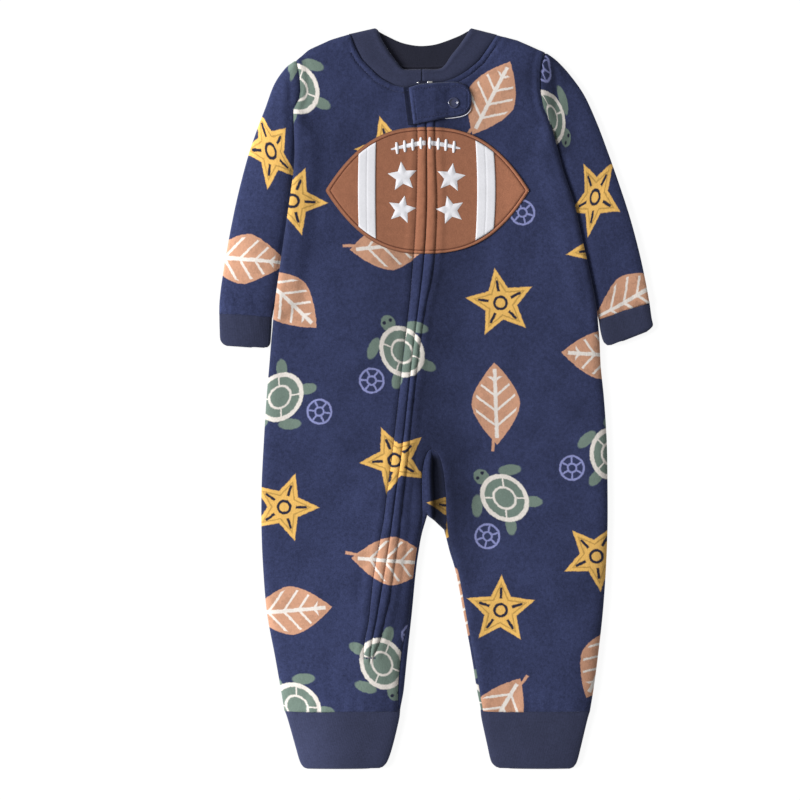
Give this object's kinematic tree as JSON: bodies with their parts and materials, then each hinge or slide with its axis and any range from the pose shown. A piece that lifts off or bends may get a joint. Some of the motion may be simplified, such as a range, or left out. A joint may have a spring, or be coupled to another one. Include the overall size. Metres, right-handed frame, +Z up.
{
  "type": "onesie pajama",
  "caption": "Footless fleece onesie pajama laid flat on its back, long sleeves, ribbed cuffs and neckband, zip from neck to ankle with a snap guard, and a pointed-oval chest patch.",
  "frame": {"origin": "centre of the garment's outline in plan, on the floor that it lies on", "axes": "+X to the wearer's left, +Y from the ankles towards the neck, +Z up from the floor through the front"},
  "size_m": [0.4034, 0.6902, 0.0128],
  "materials": {
    "navy_fleece": "brushed fleece with an all-over print",
    "navy_knit": "fine rib knit, matte",
    "navy_tape": "woven zip tape",
    "slider_metal": "satin",
    "snap_ring": "glossy navy",
    "patch_felt": "short brushed pile",
    "stripe_twill": "satin embroidery thread"
  },
  "bodies": {
    "root": {"back_panel": "navy_fleece", "front_panel": "navy_fleece", "crotch_piece": "navy_fleece", "sleeve_right": "navy_fleece", "sleeve_left": "navy_fleece", "wrist_cuff_right": "navy_knit", "wrist_cuff_left": "navy_knit", "ankle_cuff_right": "navy_knit", "ankle_cuff_left": "navy_knit", "neckband": "navy_knit", "zip_tape": "navy_tape", "zip_slider": "slider_metal", "zip_pull": "slider_metal", "zip_guard": "navy_fleece", "guard_snap": "snap_ring", "chest_patch_right": "patch_felt", "chest_patch_left": "patch_felt", "patch_stripe_right": "stripe_twill", "patch_stripe_left": "stripe_twill"}
  },
  "joints": []
}
